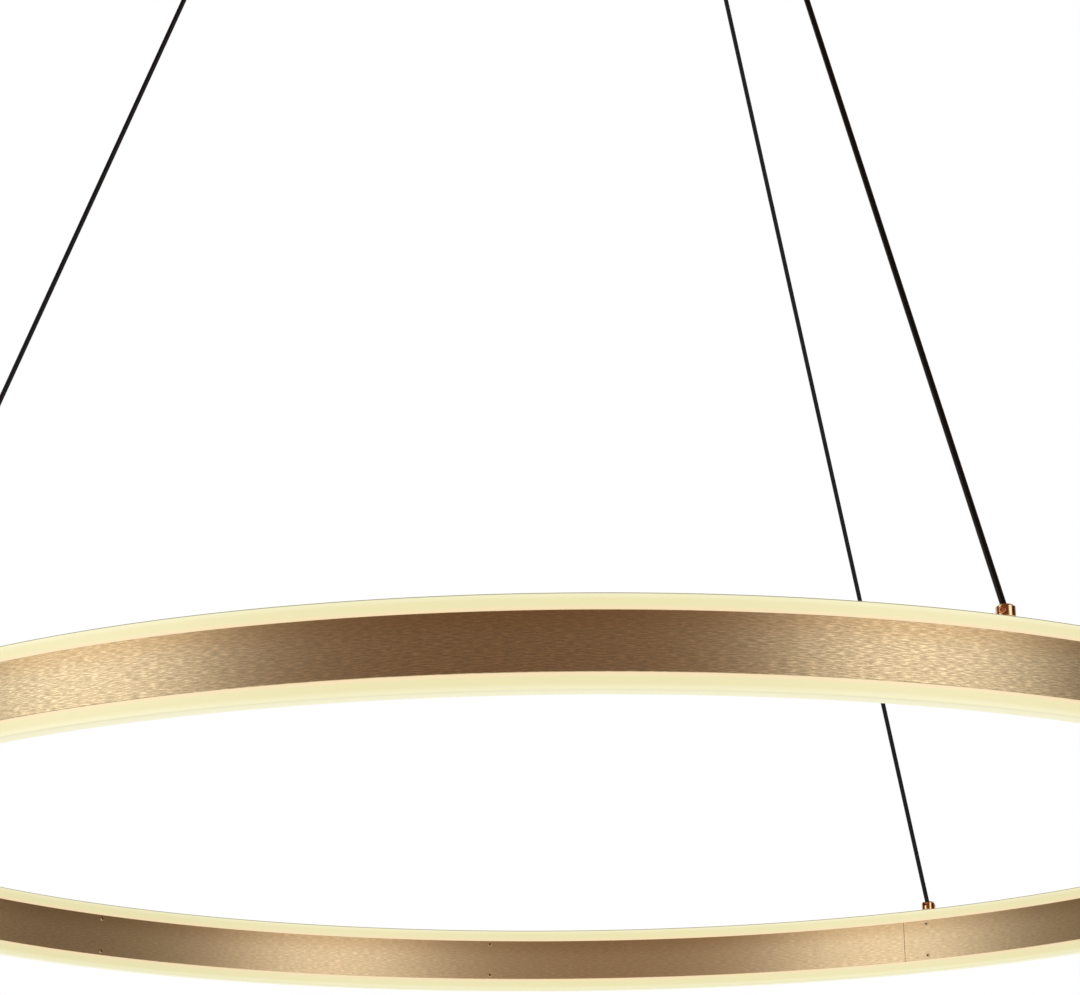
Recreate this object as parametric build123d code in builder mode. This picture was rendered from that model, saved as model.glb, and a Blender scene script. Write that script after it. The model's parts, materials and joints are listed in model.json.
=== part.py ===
from build123d import *
from math import atan, cos, degrees, radians, sin, sqrt
import os

os.makedirs("parts", exist_ok=True)

# LED ring chandelier: a thin glowing ring on three leaning cables under a round canopy.
# Origin at the centre of the ceiling screws, on the ceiling plane. +Z up, millimetres and
# degrees. The ring hangs below, so most heights are negative.

# ---------------------------------------------------------------- driving dimensions
# Ring section: an H-shaped core between two bands, an opal diffuser above and below.
ring_outer_radius = 400.0
ring_wall = 9.0
ring_height = 38.0
band_height = 24.0
band_thickness = 0.8
band_gap = 0.05
band_seam_gap = 0.3
band_seam_turn = 2.2
core_wall = 1.0
web_thickness = 3.0
diffuser_wall = 1.6
diffuser_setback = 0.3
tongue_thickness = 1.0
tongue_depth = 6.0
tongue_clearance = 0.1

# Lighting inside the ring.
strip_width = 4.6
strip_thickness = 0.25
chip_width = 2.8
chip_length = 3.5
chip_height = 0.7
chips_per_ring = 120
feed_lead_radius = 0.5
feed_hole_clearance = 0.4

# Screws along the inner band, in pairs near the band's two edges.
screw_turns = (-0.1, 41.5, 79.7)
screw_edge_inset = 2.3
screw_shank_radius = 0.7
screw_shank_length = 2.8
screw_head_radius = 1.1
screw_head_height = 0.5
screw_socket_width = 1.2
screw_socket_depth = 0.35
screw_clearance = 0.05
head_gap = 0.02

# Suspension.
cable_count = 3
first_cable_azimuth = 55.8
cable_radius = 1.35
free_cable_length = 800.0

# Swivelling anchor on the ring.
ball_radius = 1.9
ball_clearance = 0.1
neck_radius = 1.2
neck_length = 2.8
pivot_height = 2.2
cap_radius = 4.0
cap_height = 4.8
cap_chamfer = 0.8
slot_clearance = 0.3
stud_radius = 2.0
stud_length = 8.0
stud_base_radius = 2.8
stud_base_height = 1.2
thread_clearance = 0.05
block_length = 12.0
block_side_gap = 0.2
block_floor_gap = 1.25
block_cap_gap = 0.1
lock_screw_turn = -55.0
lock_head_radius = 1.5
lock_head_height = 0.9
lock_head_fillet = 0.6
lock_seat_depth = 0.6
lock_seat_clearance = 0.1
lock_shank_radius = 0.7
lock_tip_gap = 0.15
lock_socket_width = 1.2
lock_socket_depth = 0.4

# Canopy and ceiling plate.
canopy_radius = 120.0
canopy_height = 42.0
canopy_wall = 1.0
canopy_corner = 6.0
exit_inset = 20.0
plate_inset = 10.0
plate_thickness = 1.5
ear_arc = 9.0
ear_drop = 18.0
ear_gap = 0.3
ear_tab_overlap = 5.0
side_screw_depth = 10.0
side_screw_radius = 2.0
side_screw_reach = 8.0
side_head_radius = 4.0
side_head_height = 3.0
side_head_chamfer = 0.6
mains_hole_radius = 9.0
ceiling_slot_spacing = 160.0
ceiling_slot_length = 16.0
ceiling_slot_width = 5.5

# Cable gripper: body and stud through the canopy floor, sprung plunger with three balls.
gripper_radius = 6.0
gripper_drop = 20.0
gripper_edge = 1.0
gripper_stud_radius = 5.0
gripper_stud_length = 14.0
plunger_radius = 3.0
plunger_head_radius = 3.2
plunger_travel = 2.0
plunger_grip = 4.0
plunger_bore_clearance = 0.25
plunger_fit = 0.08
plunger_mouth_flare = 1.1
guide_length = 8.0
taper_length = 9.0
taper_low_radius = 3.35
chamber_radius = 4.2
chamber_roof = 6.0
plunger_head_length = 7.4
head_ledge_gap = 0.1
grip_ball_radius = 1.1
grip_ball_gap = 0.1
grip_balls = 3
spring_wire_radius = 0.3
spring_radius = 2.9
spring_turns = 5
nut_width = 14.0
nut_height = 5.0

# Driver, terminal block and leads inside the canopy.
driver_length = 150.0
driver_width = 44.0
driver_height = 25.0
driver_y = -36.0
driver_fillet = 2.0
driver_screw_inset = 10.0
output_pitch = 12.0
live_entry_offset = 8.0
neutral_entry_offset = -6.0
csk_head_radius = 3.0
csk_shank_radius = 1.5
csk_shank_length = 8.0
entry_depth = 6.0
entry_clearance = 0.15
block_size_x = 22.0
block_size_y = 40.0
block_size_z = 17.0
terminal_block_y = 37.0
pole_pitch = 12.0
block_fillet = 1.5
pole_screw_radius = 2.0
pole_screw_height = 2.5
pole_screw_inset = 5.5
pole_slot_width = 0.6
block_screw_radius = 1.5
block_screw_head_radius = 2.6
block_screw_head_height = 1.6
lead_radius = 1.0
lead_depth = 9.0
tail_depth = 7.0
rise_bend_radius = 14.0
earth_x = -50.0
earth_y = 36.0
lug_radius = 4.0
lug_thickness = 0.8
lug_barrel_radius = 1.6
lug_barrel_length = 6.0
earth_screw_radius = 2.0
earth_head_radius = 3.4
earth_head_height = 2.2
clip_width = 7.0
clip_length = 6.0
clip_cover = 1.2
clip_base_width = 12.0
clip_base_thickness = 1.0
clip_fillet = 1.2
clip_places_x = (-25.0, 20.0)
clip_place_y = 14.0

# Corners of the lead and cable routes under the plate, and their room past the driver's ends.
live_turn_x = -40.0
live_side_room = 9.0
live_side_y = -2.0
neutral_turn_x = -45.0
neutral_side_room = 15.0
neutral_side_y = 0.0
earth_turn_x = -22.0
earth_drop_x = -32.0
tail_side_room = 22.0
inner_tail_room = 13.0
inner_tail_y = 12.0
tail_run_y = 60.0
tail_run_start_x = -62.0
tail_run_end_x = 40.0
first_tail_y = 45.0
third_tail_room = 5.0
third_tail_y = -80.0

# ---------------------------------------------------------------- derived sizes
mid_radius = ring_outer_radius - ring_wall / 2
ring_inner_radius = ring_outer_radius - ring_wall
band_inner = ring_wall / 2 - band_thickness
core_outer = band_inner - band_gap
core_inner = core_outer - core_wall
diffuser_outer = ring_wall / 2 - diffuser_setback
diffuser_inner = diffuser_outer - diffuser_wall
tongue_outer = core_inner - tongue_clearance
tongue_inner = tongue_outer - tongue_thickness

exit_circle_radius = canopy_radius - exit_inset
plate_radius = canopy_radius - plate_inset
lean_run = mid_radius - exit_circle_radius
cable_drop = sqrt(free_cable_length**2 - lean_run**2)
mouth_z = -(canopy_height + gripper_drop + plunger_travel + plunger_grip)
pivot_z = mouth_z - cable_drop
ring_top = pivot_z - pivot_height
ring_z = ring_top - ring_height / 2
rest_lean = degrees(atan(lean_run / cable_drop))

band_half = band_height / 2
ring_half = ring_height / 2
web_half = web_thickness / 2
cap_under = ring_half - diffuser_wall
block_bottom = web_half + strip_thickness + block_floor_gap
block_top = cap_under - block_cap_gap
block_width = 2 * core_inner - 2 * block_side_gap
pocket_radius = ball_radius + ball_clearance
slot_width = 2 * (cable_radius + slot_clearance)
floor_top = -canopy_height + canopy_wall
driver_end = driver_length / 2
driver_screw_x = driver_end - driver_screw_inset
cable_azimuths = [first_cable_azimuth + 360 / cable_count * i for i in range(cable_count)]
ear_azimuths = [azimuth + 180 / cable_count for azimuth in cable_azimuths]


def radial_plane(azimuth, radius=0.0):
    """Upright plane through the axis: local x runs outwards, local y runs up."""
    outwards = Vector(cos(radians(azimuth)), sin(radians(azimuth)), 0)
    across = Vector(sin(radians(azimuth)), -cos(radians(azimuth)), 0)
    return Plane(origin=outwards * radius, x_dir=outwards, z_dir=across)


def level_plane(azimuth, radius, z):
    """Level plane at a point of a circle: local x runs outwards."""
    outwards = Vector(cos(radians(azimuth)), sin(radians(azimuth)), 0)
    return Plane(origin=outwards * radius + Vector(0, 0, z), x_dir=outwards, z_dir=(0, 0, 1))


def outward_plane(azimuth, radius, z, centre=(0, 0)):
    """Plane that faces outwards from a centre, with local y up."""
    outwards = Vector(cos(radians(azimuth)), sin(radians(azimuth)), 0)
    across = Vector(-sin(radians(azimuth)), cos(radians(azimuth)), 0)
    origin = Vector(centre[0], centre[1], z) + outwards * radius
    return Plane(origin=origin, x_dir=across, z_dir=outwards)


def circle_point(azimuth, radius):
    return radius * cos(radians(azimuth)), radius * sin(radians(azimuth))


def section_box(low, high, bottom, top):
    """Rectangle of the ring's section, from offsets about its middle line."""
    with Locations((mid_radius + (low + high) / 2, ring_z + (bottom + top) / 2)):
        Rectangle(high - low, abs(top - bottom))


def both_sides(low, high, bottom, top):
    section_box(low, high, bottom, top)
    section_box(-high, -low, bottom, top)


# Band screws: a pair under each cable and two more pairs to the next cable.
screw_height = band_half - screw_edge_inset
screw_azimuths = [azimuth + turn for azimuth in cable_azimuths for turn in screw_turns]
upper_screws = [
    outward_plane(azimuth, ring_inner_radius, ring_z + screw_height) for azimuth in screw_azimuths
]
lower_screws = [
    outward_plane(azimuth, ring_inner_radius, ring_z - screw_height) for azimuth in screw_azimuths
]
screw_hole_radius = screw_shank_radius + screw_clearance
feed_hole_radius = feed_lead_radius + feed_hole_clearance

# ---------------------------------------------------------------- ring
with BuildPart() as ring_core:
    with BuildSketch(Plane.XZ):
        both_sides(core_inner, core_outer, -band_half, band_half)
        section_box(-core_inner, core_inner, -web_half, web_half)
    revolve(axis=Axis.Z)
    with BuildSketch(*upper_screws, *lower_screws):
        Circle(screw_hole_radius)
    extrude(amount=band_thickness + band_gap + core_wall + tongue_clearance, mode=Mode.SUBTRACT)
    with BuildSketch(Plane.XY.offset(ring_z)):
        with PolarLocations(mid_radius, cable_count, start_angle=first_cable_azimuth):
            Circle(feed_hole_radius)
    extrude(amount=web_half, both=True, mode=Mode.SUBTRACT)
ring_core.part.label = "ring_core"
export_step(ring_core.part, "parts/ring_core.step")

with BuildPart() as outer_band:
    with BuildSketch(Plane.XZ):
        section_box(band_inner, ring_wall / 2, -band_half, band_half)
    revolve(axis=Axis.Z)
    with BuildSketch(outward_plane(first_cable_azimuth + band_seam_turn, mid_radius, ring_z)):
        Rectangle(band_seam_gap, band_height)
    extrude(amount=ring_wall, mode=Mode.SUBTRACT)
outer_band.part.label = "outer_band"
export_step(outer_band.part, "parts/outer_band.step")

with BuildPart() as inner_band:
    with BuildSketch(Plane.XZ):
        section_box(-ring_wall / 2, -band_inner, -band_half, band_half)
    revolve(axis=Axis.Z)
    with BuildSketch(outward_plane(first_cable_azimuth + band_seam_turn, mid_radius, ring_z)):
        Rectangle(band_seam_gap, band_height)
    extrude(amount=-ring_wall, mode=Mode.SUBTRACT)
    with BuildSketch(*upper_screws, *lower_screws):
        Circle(screw_hole_radius)
    extrude(amount=screw_shank_length, mode=Mode.SUBTRACT)
inner_band.part.label = "inner_band"
export_step(inner_band.part, "parts/inner_band.step")


def diffuser_section(side):
    """Cap, side walls to the bands, shoulders and two tongues. side is 1 above, -1 below."""
    edge = side * band_half
    shoulder = side * (band_half + diffuser_wall)
    section_box(-diffuser_outer, diffuser_outer, side * cap_under, side * ring_half)
    both_sides(diffuser_inner, diffuser_outer, edge, side * ring_half)
    both_sides(tongue_inner, diffuser_outer, edge, shoulder)
    both_sides(tongue_inner, tongue_outer, side * (band_half - tongue_depth), shoulder)


with BuildPart() as upper_diffuser:
    with BuildSketch(Plane.XZ):
        diffuser_section(1)
    revolve(axis=Axis.Z)
    with BuildSketch(*upper_screws):
        Circle(screw_hole_radius)
    extrude(amount=ring_wall / 2, mode=Mode.SUBTRACT)
    with BuildSketch(Plane.XY.offset(ring_z)):
        with PolarLocations(mid_radius, cable_count, start_angle=first_cable_azimuth):
            Rectangle(2 * core_inner, block_length + 2 * block_side_gap)
    extrude(amount=cap_under, mode=Mode.SUBTRACT)
    with BuildSketch(Plane.XY.offset(ring_z)):
        with PolarLocations(mid_radius, cable_count, start_angle=first_cable_azimuth):
            Circle(stud_radius + thread_clearance)
    extrude(amount=ring_height, mode=Mode.SUBTRACT)
upper_diffuser.part.label = "upper_diffuser"
export_step(upper_diffuser.part, "parts/upper_diffuser.step")

with BuildPart() as lower_diffuser:
    with BuildSketch(Plane.XZ):
        diffuser_section(-1)
    revolve(axis=Axis.Z)
    with BuildSketch(*lower_screws):
        Circle(screw_hole_radius)
    extrude(amount=ring_wall / 2, mode=Mode.SUBTRACT)
lower_diffuser.part.label = "lower_diffuser"
export_step(lower_diffuser.part, "parts/lower_diffuser.step")

with BuildPart() as band_screws:
    with BuildSketch(*[plane.offset(-head_gap) for plane in upper_screws + lower_screws]):
        Circle(screw_shank_radius)
    extrude(amount=screw_shank_length)
    with BuildSketch(*[plane.offset(-head_gap) for plane in upper_screws + lower_screws]):
        Circle(screw_head_radius)
    extrude(amount=-screw_head_height)
    socket_plane_shift = -head_gap - screw_head_height
    with BuildSketch(*[plane.offset(socket_plane_shift) for plane in upper_screws + lower_screws]):
        RegularPolygon(screw_socket_width / 2, 6, major_radius=False)
    extrude(amount=screw_socket_depth, mode=Mode.SUBTRACT)
band_screws.part.label = "band_screws"
export_step(band_screws.part, "parts/band_screws.step")

# Circuit strips lie on both faces of the web, with the chips on their outer faces.
for side, name in ((1, "upper"), (-1, "lower")):
    strip_z = ring_z + side * web_half
    with BuildPart() as led_strip:
        with BuildSketch(Plane.XY.offset(strip_z)):
            Circle(mid_radius + strip_width / 2)
            Circle(mid_radius - strip_width / 2, mode=Mode.SUBTRACT)
            with PolarLocations(mid_radius, cable_count, start_angle=first_cable_azimuth):
                Circle(feed_hole_radius, mode=Mode.SUBTRACT)
        extrude(amount=side * strip_thickness)
    led_strip.part.label = f"{name}_led_strip"
    export_step(led_strip.part, f"parts/{name}_led_strip.step")

    half_pitch = 180 / chips_per_ring
    with BuildPart() as led_chips:
        with BuildSketch(Plane.XY.offset(strip_z + side * strip_thickness)):
            first_chip = first_cable_azimuth + half_pitch
            with PolarLocations(mid_radius, chips_per_ring, start_angle=first_chip):
                Rectangle(chip_width, chip_length)
        extrude(amount=side * chip_height)
    led_chips.part.label = f"{name}_led_chips"
    export_step(led_chips.part, f"parts/{name}_led_chips.step")

# ---------------------------------------------------------------- anchors on the ring
with BuildPart() as feed_leads:
    lead_top = pivot_height - pocket_radius - ball_clearance
    with BuildSketch(Plane.XY.offset(ring_z - web_half - strip_thickness)):
        with PolarLocations(mid_radius, cable_count, start_angle=first_cable_azimuth):
            Circle(feed_lead_radius)
    extrude(amount=strip_thickness + web_half + ring_half + lead_top)
feed_leads.part.label = "feed_leads"
export_step(feed_leads.part, "parts/feed_leads.step")

lock_seat_radius = lock_head_radius + lock_seat_clearance
lock_seat_floor = cap_radius - lock_seat_depth
lock_planes = [
    outward_plane(
        azimuth + lock_screw_turn, lock_seat_floor, pivot_z, circle_point(azimuth, mid_radius)
    )
    for azimuth in cable_azimuths
]

with BuildPart() as ball_lock_screws:
    with BuildSketch(*lock_planes):
        Circle(lock_head_radius)
    extrude(amount=lock_head_height)
    flat_faces = ball_lock_screws.faces().filter_by(GeomType.PLANE)
    outer_faces = flat_faces.group_by(lambda face: face.center().length)[-1]
    fillet(outer_faces.edges(), lock_head_fillet)
    with BuildSketch(*[plane.offset(lock_head_height) for plane in lock_planes]):
        RegularPolygon(lock_socket_width / 2, 6, major_radius=False)
    extrude(amount=-lock_socket_depth, mode=Mode.SUBTRACT)
    with BuildSketch(*lock_planes):
        Circle(lock_shank_radius)
    extrude(amount=-(lock_seat_floor - ball_radius - lock_tip_gap))
ball_lock_screws.part.label = "ball_lock_screws"
export_step(ball_lock_screws.part, "parts/ball_lock_screws.step")

for number, azimuth in enumerate(cable_azimuths, start=1):
    middle = level_plane(azimuth, mid_radius, ring_z)
    top = level_plane(azimuth, mid_radius, ring_top)
    pivot = level_plane(azimuth, mid_radius, pivot_z)
    exit_x, exit_y = circle_point(azimuth, exit_circle_radius)
    towards_exit = (Vector(exit_x, exit_y, mouth_z) - pivot.origin).normalized()
    along_cable = Plane(origin=pivot.origin, x_dir=radial_plane(azimuth).z_dir, z_dir=towards_exit)

    with BuildPart() as anchor_block:
        with BuildSketch(middle.offset(block_bottom)):
            Rectangle(block_width, block_length)
        extrude(amount=block_top - block_bottom)
        with BuildSketch(middle.offset(block_bottom)):
            Circle(stud_radius + thread_clearance)
        extrude(amount=block_top - block_bottom, mode=Mode.SUBTRACT)
        with BuildSketch(*upper_screws):
            Circle(screw_hole_radius)
        extrude(amount=screw_shank_length + screw_clearance, mode=Mode.SUBTRACT)
    anchor_block.part.label = f"anchor_block_{number}"
    export_step(anchor_block.part, f"parts/anchor_block_{number}.step")

    with BuildPart() as anchor_stud:
        with BuildSketch(top):
            Circle(stud_base_radius)
        extrude(amount=stud_base_height)
        with BuildSketch(top):
            Circle(stud_radius)
        extrude(amount=-stud_length)
        with Locations(pivot):
            Sphere(pocket_radius, mode=Mode.SUBTRACT)
        with BuildSketch(top.offset(-stud_length)):
            Circle(feed_hole_radius)
        extrude(amount=stud_length + stud_base_height, mode=Mode.SUBTRACT)
    anchor_stud.part.label = f"anchor_stud_{number}"
    export_step(anchor_stud.part, f"parts/anchor_stud_{number}.step")

    with BuildPart() as anchor_cap:
        with BuildSketch(top):
            Circle(cap_radius)
        extrude(amount=cap_height)
        chamfer(anchor_cap.faces().sort_by(Axis.Z)[-1].edges(), cap_chamfer)
        with BuildSketch(top):
            Circle(stud_base_radius + thread_clearance)
        extrude(amount=stud_base_height + thread_clearance, mode=Mode.SUBTRACT)
        with Locations(pivot):
            Sphere(pocket_radius, mode=Mode.SUBTRACT)
        with BuildSketch(pivot):
            Circle(slot_width / 2)
            with Locations((-cap_radius, 0)):
                Rectangle(2 * cap_radius, slot_width)
        extrude(amount=cap_height, mode=Mode.SUBTRACT)
        with BuildSketch(lock_planes[number - 1]):
            Circle(lock_seat_radius)
        extrude(amount=cap_radius, mode=Mode.SUBTRACT)
        with BuildSketch(lock_planes[number - 1]):
            Circle(lock_shank_radius + thread_clearance)
        extrude(amount=-lock_seat_floor, mode=Mode.SUBTRACT)
    anchor_cap.part.label = f"anchor_cap_{number}"
    export_step(anchor_cap.part, f"parts/anchor_cap_{number}.step")

    with BuildPart() as cable_ball:
        with Locations(pivot):
            Sphere(ball_radius)
        with BuildSketch(along_cable):
            Circle(neck_radius)
        extrude(amount=neck_length)
    cable_ball.part.label = f"cable_ball_{number}"
    export_step(cable_ball.part, f"parts/cable_ball_{number}.step")

    # The tight stretch leans inwards from the ball to the gripper's mouth, cut level there.
    with BuildPart() as cable:
        with BuildSketch(along_cable.offset(neck_length)):
            Circle(cable_radius)
        extrude(amount=free_cable_length)
        split(bisect_by=Plane.XY.offset(mouth_z), keep=Keep.BOTTOM)
    cable.part.label = f"cable_{number}"
    export_step(cable.part, f"parts/cable_{number}.step")

# ---------------------------------------------------------------- canopy
with BuildPart() as canopy_shell:
    with BuildSketch(Plane.XY.offset(-canopy_height)):
        Circle(canopy_radius)
    extrude(amount=canopy_height)
    fillet(canopy_shell.faces().sort_by(Axis.Z)[0].edges(), canopy_corner)
    offset(amount=-canopy_wall, openings=canopy_shell.faces().sort_by(Axis.Z)[-1])
    with BuildSketch(Plane.XY.offset(-canopy_height)):
        with PolarLocations(exit_circle_radius, cable_count, start_angle=first_cable_azimuth):
            Circle(gripper_stud_radius + thread_clearance)
    extrude(amount=canopy_wall, mode=Mode.SUBTRACT)
    with BuildSketch(*[outward_plane(a, 0, -side_screw_depth) for a in ear_azimuths]):
        Circle(side_screw_radius + thread_clearance)
    extrude(amount=canopy_radius, mode=Mode.SUBTRACT)
canopy_shell.part.label = "canopy_shell"
export_step(canopy_shell.part, "parts/canopy_shell.step")

ear_radius = canopy_radius - canopy_wall - ear_gap
with BuildPart() as ceiling_plate:
    with BuildSketch():
        Circle(plate_radius)
    extrude(amount=-plate_thickness)
    for azimuth in ear_azimuths:
        with BuildSketch(radial_plane(azimuth - ear_arc / 2)):
            with Locations((plate_radius - ear_tab_overlap, 0)):
                Rectangle(
                    ear_radius - plate_radius + ear_tab_overlap,
                    plate_thickness,
                    align=(Align.MIN, Align.MAX),
                )
            with Locations((ear_radius, 0)):
                Rectangle(plate_thickness, ear_drop, align=(Align.MAX, Align.MAX))
        revolve(axis=Axis.Z, revolution_arc=ear_arc)
    with BuildSketch(*[outward_plane(a, 0, -side_screw_depth) for a in ear_azimuths]):
        Circle(side_screw_radius + thread_clearance)
    extrude(amount=canopy_radius, mode=Mode.SUBTRACT)
    with BuildSketch():
        Circle(mains_hole_radius)
        with Locations((0, ceiling_slot_spacing / 2), (0, -ceiling_slot_spacing / 2)):
            SlotOverall(ceiling_slot_length, ceiling_slot_width, rotation=90)
        with Locations((earth_x, earth_y)):
            Circle(earth_screw_radius + thread_clearance)
    extrude(amount=-plate_thickness, mode=Mode.SUBTRACT)
    with Locations((-driver_screw_x, driver_y), (driver_screw_x, driver_y)):
        CounterSinkHole(
            radius=csk_shank_radius + thread_clearance,
            counter_sink_radius=csk_head_radius + thread_clearance,
            depth=plate_thickness,
            counter_sink_angle=90,
        )
ceiling_plate.part.label = "ceiling_plate"
export_step(ceiling_plate.part, "parts/ceiling_plate.step")

with BuildPart() as canopy_side_screws:
    head_planes = [outward_plane(a, canopy_radius, -side_screw_depth) for a in ear_azimuths]
    with BuildSketch(*head_planes):
        Circle(side_head_radius)
    extrude(amount=side_head_height)
    flat_faces = canopy_side_screws.faces().filter_by(GeomType.PLANE)
    outer_faces = flat_faces.group_by(lambda face: face.center().length)[-1]
    chamfer(outer_faces.edges(), side_head_chamfer)
    with BuildSketch(*head_planes):
        Circle(side_screw_radius)
    extrude(amount=-side_screw_reach)
canopy_side_screws.part.label = "canopy_side_screws"
export_step(canopy_side_screws.part, "parts/canopy_side_screws.step")

# ---------------------------------------------------------------- grippers
body_bottom = -canopy_height - gripper_drop
guide_top = body_bottom + guide_length
taper_top = guide_top + taper_length
stud_top = floor_top + gripper_stud_length
chamber_top = stud_top - chamber_roof
plunger_bore = cable_radius + plunger_bore_clearance
head_bottom = guide_top + head_ledge_gap
plunger_top = head_bottom + plunger_head_length
grip_circle = cable_radius + grip_ball_gap + grip_ball_radius
wedge_radius = grip_circle + grip_ball_radius + grip_ball_gap
taper_slope = (chamber_radius - taper_low_radius) / taper_length
grip_z = guide_top + (wedge_radius - taper_low_radius) / taper_slope

for number, azimuth in enumerate(cable_azimuths, start=1):
    grip_x, grip_y = circle_point(azimuth, exit_circle_radius)
    grip_plane = Plane(origin=(grip_x, grip_y, 0), x_dir=(1, 0, 0), z_dir=(0, -1, 0))
    grip_axis = Axis((grip_x, grip_y, 0), (0, 0, 1))

    with BuildPart() as gripper_body:
        with BuildSketch(grip_plane):
            with BuildLine():
                Polyline(
                    (plunger_radius + plunger_fit, body_bottom),
                    (gripper_radius - gripper_edge, body_bottom),
                    (gripper_radius, body_bottom + gripper_edge),
                    (gripper_radius, -canopy_height),
                    (gripper_stud_radius, -canopy_height),
                    (gripper_stud_radius, stud_top),
                    (plunger_bore, stud_top),
                    (plunger_bore, chamber_top),
                    (chamber_radius, chamber_top),
                    (chamber_radius, taper_top),
                    (taper_low_radius, guide_top),
                    (plunger_radius + plunger_fit, guide_top),
                    close=True,
                )
            make_face()
        revolve(axis=grip_axis)
    gripper_body.part.label = f"gripper_body_{number}"
    export_step(gripper_body.part, f"parts/gripper_body_{number}.step")

    with BuildPart() as gripper_plunger:
        with BuildSketch(grip_plane):
            with BuildLine():
                Polyline(
                    (plunger_bore, plunger_top),
                    (plunger_head_radius, plunger_top),
                    (plunger_head_radius, head_bottom),
                    (plunger_radius, head_bottom),
                    (plunger_radius, mouth_z),
                    (plunger_bore + plunger_mouth_flare, mouth_z),
                    (plunger_bore, mouth_z + plunger_mouth_flare),
                    close=True,
                )
            make_face()
        revolve(axis=grip_axis)
        cage = [
            outward_plane(azimuth + 360 / grip_balls * i, 0, grip_z, (grip_x, grip_y))
            for i in range(grip_balls)
        ]
        with BuildSketch(*cage):
            Circle(grip_ball_radius + grip_ball_gap)
        extrude(amount=gripper_radius, mode=Mode.SUBTRACT)
    gripper_plunger.part.label = f"gripper_plunger_{number}"
    export_step(gripper_plunger.part, f"parts/gripper_plunger_{number}.step")

    with BuildPart() as gripper_balls:
        with Locations(Plane(origin=(grip_x, grip_y, grip_z))):
            with PolarLocations(grip_circle, grip_balls, start_angle=azimuth):
                Sphere(grip_ball_radius)
    gripper_balls.part.label = f"gripper_balls_{number}"
    export_step(gripper_balls.part, f"parts/gripper_balls_{number}.step")

    spring_low = plunger_top + spring_wire_radius
    spring_high = chamber_top - spring_wire_radius
    with BuildPart() as gripper_spring:
        with BuildLine() as coil:
            Helix(
                pitch=(spring_high - spring_low) / spring_turns,
                height=spring_high - spring_low,
                radius=spring_radius,
                center=(grip_x, grip_y, spring_low),
            )
        with BuildSketch(Plane(origin=coil.line @ 0, z_dir=coil.line % 0)):
            Circle(spring_wire_radius)
        sweep()
    gripper_spring.part.label = f"gripper_spring_{number}"
    export_step(gripper_spring.part, f"parts/gripper_spring_{number}.step")

with BuildPart() as gripper_nuts:
    with BuildSketch(Plane.XY.offset(floor_top)):
        with PolarLocations(exit_circle_radius, cable_count, start_angle=first_cable_azimuth):
            RegularPolygon(nut_width / 2, 6, major_radius=False)
            Circle(gripper_stud_radius + thread_clearance, mode=Mode.SUBTRACT)
    extrude(amount=nut_height)
gripper_nuts.part.label = "gripper_nuts"
export_step(gripper_nuts.part, "parts/gripper_nuts.step")

# ---------------------------------------------------------------- driver and leads
live_side_x = -driver_end - live_side_room
neutral_side_x = -driver_end - neutral_side_room
tail_x = driver_end + tail_side_room
inner_tail_x = driver_end + inner_tail_room
third_tail_x = driver_end + third_tail_room
under_plate = -plate_thickness
outputs_y = [driver_y, driver_y + output_pitch, driver_y - output_pitch]
inputs_y = [driver_y + live_entry_offset, driver_y + neutral_entry_offset]
output_planes = [
    Plane(origin=(driver_end, y, -tail_depth), x_dir=(0, 1, 0), z_dir=(1, 0, 0)) for y in outputs_y
]
input_planes = [
    Plane(origin=(-driver_end, y, -lead_depth), x_dir=(0, -1, 0), z_dir=(-1, 0, 0)) for y in inputs_y
]

with BuildPart() as led_driver:
    with BuildSketch(Plane.XY.offset(under_plate)):
        with Locations((0, driver_y)):
            Rectangle(driver_length, driver_width)
    extrude(amount=-driver_height)
    fillet(led_driver.edges().filter_by(Axis.Z), driver_fillet)
    fillet(led_driver.faces().sort_by(Axis.Z)[0].edges(), driver_fillet / 2)
    with BuildSketch(*output_planes):
        Circle(cable_radius + entry_clearance)
    extrude(amount=-entry_depth, mode=Mode.SUBTRACT)
    with BuildSketch(*input_planes):
        Circle(lead_radius + entry_clearance)
    extrude(amount=-entry_depth, mode=Mode.SUBTRACT)
    with BuildSketch(Plane.XY.offset(under_plate)):
        with Locations((-driver_screw_x, driver_y), (driver_screw_x, driver_y)):
            Circle(csk_shank_radius + thread_clearance)
    extrude(amount=-csk_shank_length, mode=Mode.SUBTRACT)
led_driver.part.label = "led_driver"
export_step(led_driver.part, "parts/led_driver.step")

with BuildPart() as driver_screws:
    for x in (-driver_screw_x, driver_screw_x):
        screw_axis = Axis((x, driver_y, 0), (0, 0, 1))
        with BuildSketch(Plane(origin=(x, driver_y, 0), x_dir=(1, 0, 0), z_dir=(0, -1, 0))):
            with BuildLine():
                Polyline(
                    (0, -head_gap),
                    (csk_head_radius - head_gap, -head_gap),
                    (csk_shank_radius, -(csk_head_radius - csk_shank_radius)),
                    (csk_shank_radius, -csk_shank_length),
                    (0, -csk_shank_length),
                    close=True,
                )
            make_face()
        revolve(axis=screw_axis)
driver_screws.part.label = "driver_screws"
export_step(driver_screws.part, "parts/driver_screws.step")

pole_places = [terminal_block_y + pole_pitch * i for i in (-1, 0, 1)]
block_bottom_z = under_plate - block_size_z
block_face = block_size_x / 2
pole_screw_x = block_face - pole_screw_inset
pole_screw_places = [(x, y) for x in (-pole_screw_x, pole_screw_x) for y in pole_places]
pole_planes = [
    Plane(origin=(0, y, -lead_depth), x_dir=(0, 1, 0), z_dir=(1, 0, 0)) for y in pole_places
]
block_screw_places = [(0, terminal_block_y + pole_pitch * i) for i in (-0.5, 0.5)]

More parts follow.
